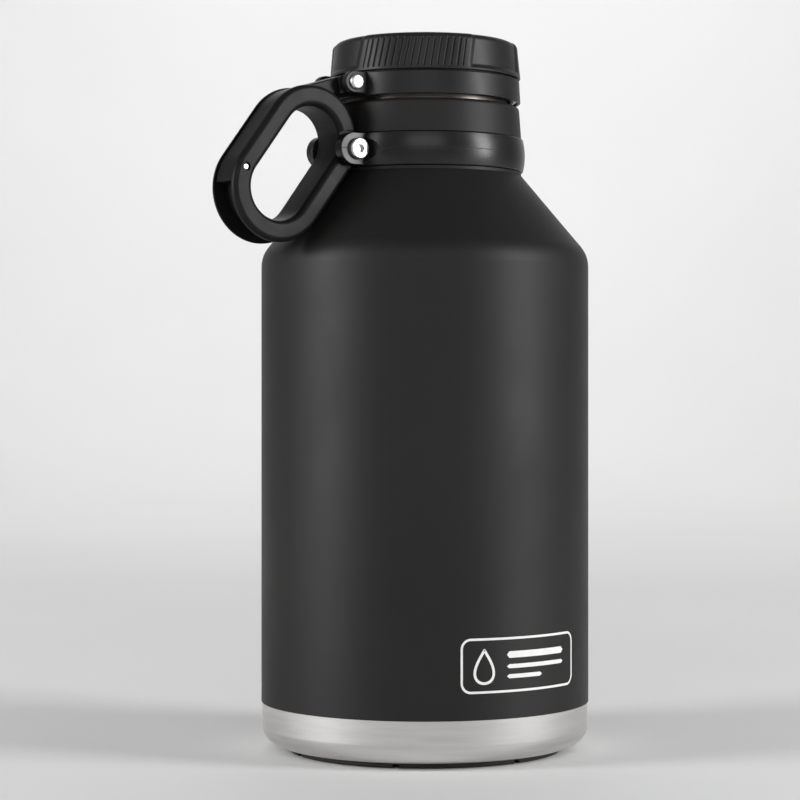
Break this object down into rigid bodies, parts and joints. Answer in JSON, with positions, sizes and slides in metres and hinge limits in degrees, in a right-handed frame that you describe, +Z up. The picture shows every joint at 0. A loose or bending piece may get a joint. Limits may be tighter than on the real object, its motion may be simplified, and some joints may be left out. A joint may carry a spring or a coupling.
{
  "type": "growler",
  "caption": "Vacuum-insulated steel growler with a screw cap held in a ring, tied by an arm to a swinging loop handle on the neck collar.",
  "frame": {"origin": "centre of the underside, on the bottle's axis", "axes": "+Z up along the bottle's axis, handle towards -X"},
  "size_m": [0.1529, 0.125, 0.2694],
  "materials": {
    "painted_black": "matte powder coat",
    "brushed_steel": "brushed round the base",
    "polished_steel": "polished",
    "liner_steel": "satin",
    "collar_plastic": "semi-gloss",
    "handle_plastic": "satin",
    "cap_plastic": "fine matte texture",
    "insert_plastic": "moulded",
    "pad_rubber": "matte",
    "seal_silicone": "soft matte",
    "insulation": "closed-cell foam",
    "getter_metal": "plain"
  },
  "bodies": {
    "bottle": {"outer_shell": "painted_black", "base_cup": "brushed_steel", "base_pad": "pad_rubber", "vacuum_seal": "liner_steel", "inner_liner": "liner_steel", "getter": "getter_metal", "neck_finish": "polished_steel", "neck_collar": "collar_plastic", "hinge_screw": "polished_steel", "hinge_nut": "polished_steel"},
    "handle": {"handle_near": "handle_plastic", "handle_far": "handle_plastic", "handle_pin": "polished_steel"},
    "lid_arm": {"lid_arm": "handle_plastic"},
    "lid_ring": {"lid_ring": "collar_plastic", "ring_rivet": "polished_steel"},
    "cap": {"cap_shell": "cap_plastic", "cap_insert": "insert_plastic", "cap_foam": "insulation", "cap_gasket": "seal_silicone", "snap_ring": "polished_steel"}
  },
  "joints": [
    {"name": "cap_spin", "type": "hinge", "parent": "lid_ring", "child": "cap", "pos_m": [0, 0, 0.2509], "axis": [0, 0, 1], "range_deg": [0, 720]},
    {"name": "lid_lift", "type": "slide", "parent": "bottle", "child": "lid_ring", "axis": [0, 0, 1], "range_m": [0, 0.008]},
    {"name": "handle_swing", "type": "hinge", "parent": "bottle", "child": "handle", "pos_m": [-0.039, 0, 0.2261], "axis": [0, 1, 0], "range_deg": [0, 11.51]},
    {"name": "arm_swing", "type": "hinge", "parent": "lid_ring", "child": "lid_arm", "pos_m": [-0.0392, 0, 0.2509], "axis": [0, 1, 0], "range_deg": [0, 1.72]}
  ],
  "couplings": [
    {"joint": "lid_lift", "follows": "cap_spin", "m_per_rad": 0.00063661},
    {"joint": "handle_swing", "follows": "cap_spin", "ratio": 0.01598},
    {"joint": "arm_swing", "follows": "cap_spin", "ratio": 0.002384}
  ]
}
